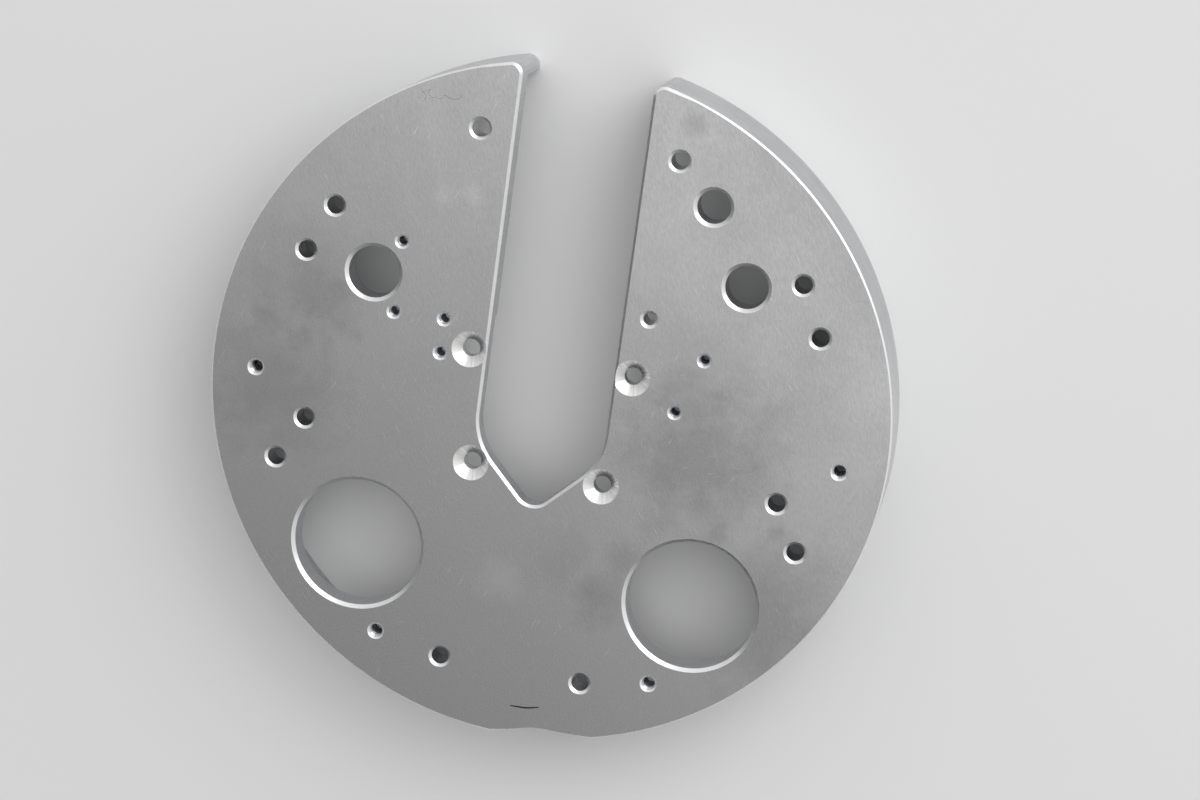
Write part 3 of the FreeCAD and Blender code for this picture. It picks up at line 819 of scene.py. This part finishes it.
class Metal:
    """Makes the aluminium materials from the shared groups."""

    def __init__(self) -> None:
        self.lines = lines_group()
        self.patches = patches_group()
        self.scratches = scratches_group()
        self.blotch = blotch_group()

    def material(self, skin: Skin) -> bpy.types.Material:
        """Build the material of one kind of surface."""
        look = FINISHES_WITH_PAINTED_LIGHT[skin]
        material = bpy.data.materials.new("aluminium_" + skin.name.lower())
        material.use_nodes = True
        graph = Graph(material.node_tree)
        shader = graph.nodes["Principled BSDF"]
        lines = graph.add("ShaderNodeGroup", node_tree=self.lines)
        lines.inputs["Stretch"].default_value = look.stretch
        lines.inputs["Turn"].default_value = math.radians(look.turn)
        patches = graph.add("ShaderNodeGroup", node_tree=self.patches)
        fine = lines.outputs[0]
        cloud = patches.outputs[0]
        # On the cones the spoke marks drive most of the colour: chatter marks together with
        # painted radial fan highlights.
        if skin is Skin.CONE:
            fine = self.spokes(graph)
        crisp = graph.ranged(fine, 0.34, 0.66)
        share = 0.85 if skin is Skin.CONE else 0.36
        tone = graph.add("ShaderNodeMix", {0: share, 2: cloud, 3: crisp}).outputs[0]
        rough = graph.ranged(tone, 0.1, 0.9, look.roughness + look.spread,
                             look.roughness - look.spread)
        # Colour per kind of surface: painted shade on walls, bores, rim and back, painted
        # highlight on chamfers and cones.
        color = graph.add("ShaderNodeMix", {0: tone, 6: (*look.dull, 1.0),
                                            7: (*look.color, 1.0)},
                          data_type="RGBA").outputs[2]
        if skin is Skin.FACE:
            color = self.scratched(graph, self.smudged(graph, color))
        bump = graph.add("ShaderNodeBump", {"Strength": look.grain, "Distance": LINE_HEIGHT,
                                            "Height": crisp})
        graph.tree.links.new(color, shader.inputs["Base Color"])
        graph.tree.links.new(rough, shader.inputs["Roughness"])
        graph.tree.links.new(bump.outputs[0], shader.inputs["Normal"])
        shader.inputs["Metallic"].default_value = 1.0
        shader.inputs["Anisotropic"].default_value = look.anisotropic
        if look.anisotropic:
            tangent = graph.add("ShaderNodeTangent", direction_type="UV_MAP",
                                uv_map="surface")
            graph.tree.links.new(tangent.outputs[0], shader.inputs["Tangent"])
        return material

    def spokes(self, graph: Graph) -> bpy.types.NodeSocket:
        """Fine marks that run down a countersink's cone; in its colour they also paint its
        radial fan highlights.
        """
        around = graph.add("ShaderNodeUVMap", uv_map="surface").outputs[0]
        drawn = graph.add("ShaderNodeVectorMath", {0: around, 1: (620.0, 40.0, 0.0)},
                          operation="MULTIPLY").outputs[0]
        return graph.add("ShaderNodeTexNoise", {
            "Vector": drawn, "Scale": 1.0, "Detail": 3.0, "Roughness": 0.7}).outputs["Fac"]

    def smudged(self, graph: Graph, color: bpy.types.NodeSocket) -> bpy.types.NodeSocket:
        """Darken or brighten a colour at the front face's smudges."""
        gain = 1.0
        for x, y, reach, depth in BLOTCHES:
            group = graph.add("ShaderNodeGroup", node_tree=self.blotch)
            group.inputs["Centre"].default_value = (x * MM, y * MM, Sizes().depth * MM)
            group.inputs["Reach"].default_value = reach * MM
            part = graph.math("MULTIPLY", group.outputs[0], -depth)
            gain = graph.math("ADD", part, gain)
        tint = graph.add("ShaderNodeCombineXYZ", {0: gain, 1: gain, 2: gain})
        return graph.add("ShaderNodeMix", {0: 1.0, 6: color, 7: tint.outputs[0]},
                         data_type="RGBA", blend_type="MULTIPLY").outputs[2]

    def scratched(self, graph: Graph, color: bpy.types.NodeSocket) -> bpy.types.NodeSocket:
        """Lay bright scratches in a few directions over a colour."""
        marks = 0.0
        for turn, density, seed in SCRATCHES:
            group = graph.add("ShaderNodeGroup", node_tree=self.scratches)
            group.inputs["Turn"].default_value = math.radians(turn)
            group.inputs["Density"].default_value = density
            group.inputs["Seed"].default_value = seed
            marks = graph.math("MAXIMUM", group.outputs[0], marks)
        return graph.add("ShaderNodeMix", {0: marks, 6: color, 7: BRIGHT_METAL},
                         data_type="RGBA").outputs[2]


def plain_material(name: str, color: tuple[float, float, float],
                   roughness: float) -> bpy.types.Material:
    """Make a simple non-metal material."""
    material = bpy.data.materials.new(name)
    material.use_nodes = True
    shader = material.node_tree.nodes["Principled BSDF"]
    shader.inputs["Base Color"].default_value = (*color, 1.0)
    shader.inputs["Roughness"].default_value = roughness
    return material


def thread_tree() -> tuple[bpy.types.NodeTree, dict[str, str]]:
    """Geometry Nodes that put a helical thread ridge at every point of a mesh.

    Returns:
        The tree and the socket identifiers of its inputs by name.
    """
    tree = bpy.data.node_groups.new("ThreadRidges", "GeometryNodeTree")
    face = tree.interface
    face.new_socket("Geometry", in_out="INPUT", socket_type="NodeSocketGeometry")
    names = {}
    for label, kind in (("Radius", "NodeSocketFloat"), ("Pitch", "NodeSocketFloat"),
                        ("Length", "NodeSocketFloat"), ("Metal", "NodeSocketMaterial")):
        socket = face.new_socket(label, in_out="INPUT", socket_type=kind)
        names[label] = socket.identifier
    face.new_socket("Geometry", in_out="OUTPUT", socket_type="NodeSocketGeometry")
    graph = Graph(tree)
    source, target = graph.add("NodeGroupInput"), graph.add("NodeGroupOutput")
    turns = graph.math("DIVIDE", source.outputs["Length"], source.outputs["Pitch"])
    spiral = graph.add("GeometryNodeCurveSpiral", {
        "Resolution": 40, "Rotations": turns, "Start Radius": source.outputs["Radius"],
        "End Radius": source.outputs["Radius"], "Height": source.outputs["Length"]})
    normal = graph.add("GeometryNodeSetCurveNormal", {0: spiral.outputs[0]})
    normal.mode = "Z_UP"
    ridge = graph.math("MULTIPLY", source.outputs["Pitch"], 0.5)
    profile = graph.add("GeometryNodeCurvePrimitiveCircle",
                        {"Resolution": 4, "Radius": ridge})
    swept = graph.add("GeometryNodeCurveToMesh", {0: normal.outputs[0],
                                                  1: profile.outputs[0]})
    points = graph.add("GeometryNodeMeshToPoints", {0: source.outputs["Geometry"]})
    placed = graph.add("GeometryNodeInstanceOnPoints", {
        "Points": points.outputs[0], "Instance": swept.outputs[0]})
    real = graph.add("GeometryNodeRealizeInstances", {0: placed.outputs[0]})
    done = graph.add("GeometryNodeSetMaterial", {
        "Geometry": real.outputs[0], "Material": source.outputs["Metal"]})
    tree.links.new(done.outputs[0], target.inputs[0])
    return tree, names


def make_threads(name: str, holes: list[Hole], size: Sizes, tree: bpy.types.NodeTree,
                 names: dict[str, str], metal: bpy.types.Material) -> bpy.types.Object:
    """Put thread ridges in tapped holes of one size.

    Args:
        name: the piece's name.
        holes: tapped holes of equal size.
        size: the disc's dimensions.
        tree, names: the ridge generator and its sockets.
        metal: material of the ridges.

    Returns:
        The finished piece.
    """
    first = holes[0]
    lead = first.pitch * THREAD_LEAD
    low = size.depth - size.web + lead
    length = size.web - (first.mouth - first.wall) - first.pitch * THREAD_RELIEF - lead
    mesh = bpy.data.meshes.new(name + "_places")
    mesh.from_pydata([(h.x * MM, h.y * MM, low * MM) for h in holes], [], [])
    holder = bpy.data.objects.new(name + "_maker", mesh)
    bpy.context.scene.collection.objects.link(holder)
    modifier = holder.modifiers.new("threads", "NODES")
    modifier.node_group = tree
    modifier[names["Radius"]] = first.wall * MM
    modifier[names["Pitch"]] = first.pitch * MM
    modifier[names["Length"]] = length * MM
    modifier[names["Metal"]] = metal
    bpy.context.view_layer.update()
    graph = bpy.context.evaluated_depsgraph_get()
    made = bpy.data.meshes.new_from_object(holder.evaluated_get(graph))
    bpy.data.objects.remove(holder)
    soften(made, THREAD_ANGLE)
    piece = bpy.data.objects.new(name, made)
    bpy.context.scene.collection.objects.link(piece)
    LOG.info("%s: %d holes, %d faces", name, len(holes), len(made.polygons))
    return piece


@dataclass(frozen=True)
class Stroke:
    """A thin drawn line on the front face.

    Attributes:
        name: the piece's name.
        spots: across and along in millimetres.
        width: width in millimetres at the middle; the ends are thinner.
        color: its colour.
        roughness: its roughness.
    """

    name: str
    spots: tuple[tuple[float, float], ...]
    width: float
    color: tuple[float, float, float]
    roughness: float

    def line(self) -> np.ndarray:
        """Return a smooth dense line through the spots."""
        keys = np.array(self.spots)
        ends = np.vstack([2 * keys[0] - keys[1], keys, 2 * keys[-1] - keys[-2]])
        rows = []
        for index in range(1, len(ends) - 2):
            a, b, c, d = ends[index - 1:index + 3]
            for t in np.linspace(0.0, 1.0, DRAWN_STEPS, endpoint=False):
                rows.append(0.5 * (2 * b + (c - a) * t + (2 * a - 5 * b + 4 * c - d) * t ** 2
                                   + (3 * b - a - 3 * c + d) * t ** 3))
        rows.append(keys[-1])
        return np.array(rows)

    def build(self, size: Sizes) -> bpy.types.Object:
        """Make the stroke as a flat ribbon on the face."""
        line = self.line()
        tangent = np.gradient(line, axis=0)
        tangent /= np.linalg.norm(tangent, axis=1)[:, None]
        side = np.stack([-tangent[:, 1], tangent[:, 0]], axis=1)
        share = np.linspace(0.0, 1.0, len(line))
        half = self.width / 2 * (0.55 + 0.45 * np.sin(math.pi * share))
        high = size.depth + DRAWN_LIFT
        spots, faces = [], []
        for spot, across, wide in zip(line, side, half):
            for sign in (1.0, -1.0):
                x, y = spot + across * wide * sign
                spots.append((x * MM, y * MM, high * MM))
        for index in range(len(line) - 1):
            a = index * 2
            faces.append((a, a + 1, a + 3, a + 2))
        mesh = bpy.data.meshes.new(self.name)
        mesh.from_pydata(spots, [], faces)
        mesh.materials.append(plain_material(self.name, self.color, self.roughness))
        piece = bpy.data.objects.new(self.name, mesh)
        bpy.context.scene.collection.objects.link(piece)
        LOG.info("%s: %d faces", self.name, len(faces))
        return piece


INK = (0.012, 0.012, 0.014)
GRAPHITE = (0.13, 0.13, 0.13)
STROKES = (
    Stroke("pen_stroke", ((2.1, -113.72), (4.4, -113.6), (8.0, -113.4), (10.7, -112.8),
                          (12.9, -112.2)), 0.62, INK, 0.6),
    Stroke("pencil_hook", ((-59.0, 107.3), (-58.2, 106.5), (-56.9, 105.5),
                           (-57.2, 103.9), (-57.9, 103.0)), 0.11, GRAPHITE, 0.5),
    Stroke("pencil_loop", ((-58.4, 106.2), (-56.9, 107.0), (-55.5, 107.9),
                           (-56.1, 106.3), (-54.7, 104.8)), 0.09, GRAPHITE, 0.5),
    Stroke("pencil_wave", ((-56.1, 104.3), (-53.9, 105.2), (-51.3, 105.0),
                           (-50.3, 106.5), (-48.4, 105.8), (-46.4, 105.6),
                           (-45.0, 106.1), (-44.1, 106.9), (-45.0, 107.6)), 0.11,
           GRAPHITE, 0.5),
)


class Studio:
    """Floor, light and camera round the part."""

    def __init__(self, size: Sizes) -> None:
        self.size = size

    def floor(self) -> None:
        """Lay the plain pale floor under the skirt."""
        mesh = bpy.data.meshes.new("floor")
        reach, low = FLOOR_REACH, -FLOOR_DROP
        mesh.from_pydata([(-reach, -reach, low), (reach, -reach, low),
                          (reach, reach, low), (-reach, reach, low)], [], [(0, 1, 2, 3)])
        mesh.materials.append(plain_material("floor", (0.86, 0.86, 0.86), 0.9))
        piece = bpy.data.objects.new("floor", mesh)
        bpy.context.scene.collection.objects.link(piece)

    def area(self, name: str, place: tuple[float, float, float], side: float,
             power: float) -> None:
        """Add a square soft light aimed at the middle of the part."""
        lamp = bpy.data.lights.new(name, "AREA")
        lamp.shape = "SQUARE"
        lamp.size = side
        lamp.energy = power
        piece = bpy.data.objects.new(name, lamp)
        piece.location = place
        aim = Vector((0.0, 0.0, 0.02)) - Vector(place)
        piece.rotation_euler = aim.to_track_quat("-Z", "Y").to_euler()
        bpy.context.scene.collection.objects.link(piece)

    def lights(self) -> None:
        """Set the world's glow and the one soft light."""
        world = bpy.data.worlds.new("studio")
        world.use_nodes = True
        graph = Graph(world.node_tree)
        back = graph.nodes["Background"]
        back.inputs["Color"].default_value = (1.0, 1.0, 1.0, 1.0)
        way = graph.add("ShaderNodeTexCoord").outputs["Generated"]
        side = graph.add("ShaderNodeVectorMath", {0: way, 1: (0.5, 0.87, 0.0)},
                         operation="DOT_PRODUCT").outputs["Value"]
        glow = graph.math("ADD", graph.ranged(side, -0.35, -0.17, 0.22, 0.84),
                          graph.ranged(side, 0.1, 0.9, 0.0, 0.22))
        graph.tree.links.new(glow, back.inputs["Strength"])
        bpy.context.scene.world = world
        self.area("key", KEY_PLACE, KEY_SIDE, KEY_POWER)

    def camera(self) -> None:
        """Set the camera over the part."""
        data = bpy.data.cameras.new("camera")
        data.sensor_width = 36.0
        data.lens = CAMERA_LENS
        data.clip_start = 0.01
        place = Matrix.Translation(CAMERA_PLACE)
        turn = Euler(CAMERA_TURN, "XYZ").to_matrix().to_4x4()
        piece = bpy.data.objects.new("camera", data)
        piece.matrix_world = place @ turn
        bpy.context.scene.collection.objects.link(piece)
        bpy.context.scene.camera = piece


def main() -> None:
    """Build the pieces, the finish and the studio."""
    size = Sizes()
    holes = all_holes()
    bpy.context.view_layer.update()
    metal = Metal()
    for skin in Skin:
        SKINS[skin] = metal.material(skin)
    disc = Plate(size, holes).build()
    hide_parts(NODE)
    pieces = [disc]
    tree, names = thread_tree()
    for name, pitch in (("threads_m5", 0.8), ("threads_m4", 0.7)):
        group = [hole for hole in holes if hole.pitch == pitch]
        pieces.append(make_threads(name, group, size, tree, names, SKINS[Skin.BORE]))
    pieces.extend(stroke.build(size) for stroke in STROKES)
    for piece in pieces:
        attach(piece, "root")
    studio = Studio(size)
    studio.floor()
    studio.lights()
    studio.camera()
    bpy.context.scene.view_settings.view_transform = "Standard"
    LOG.info("pieces: %s", [piece.name for piece in pieces])


if __name__ == "__main__":
    main()
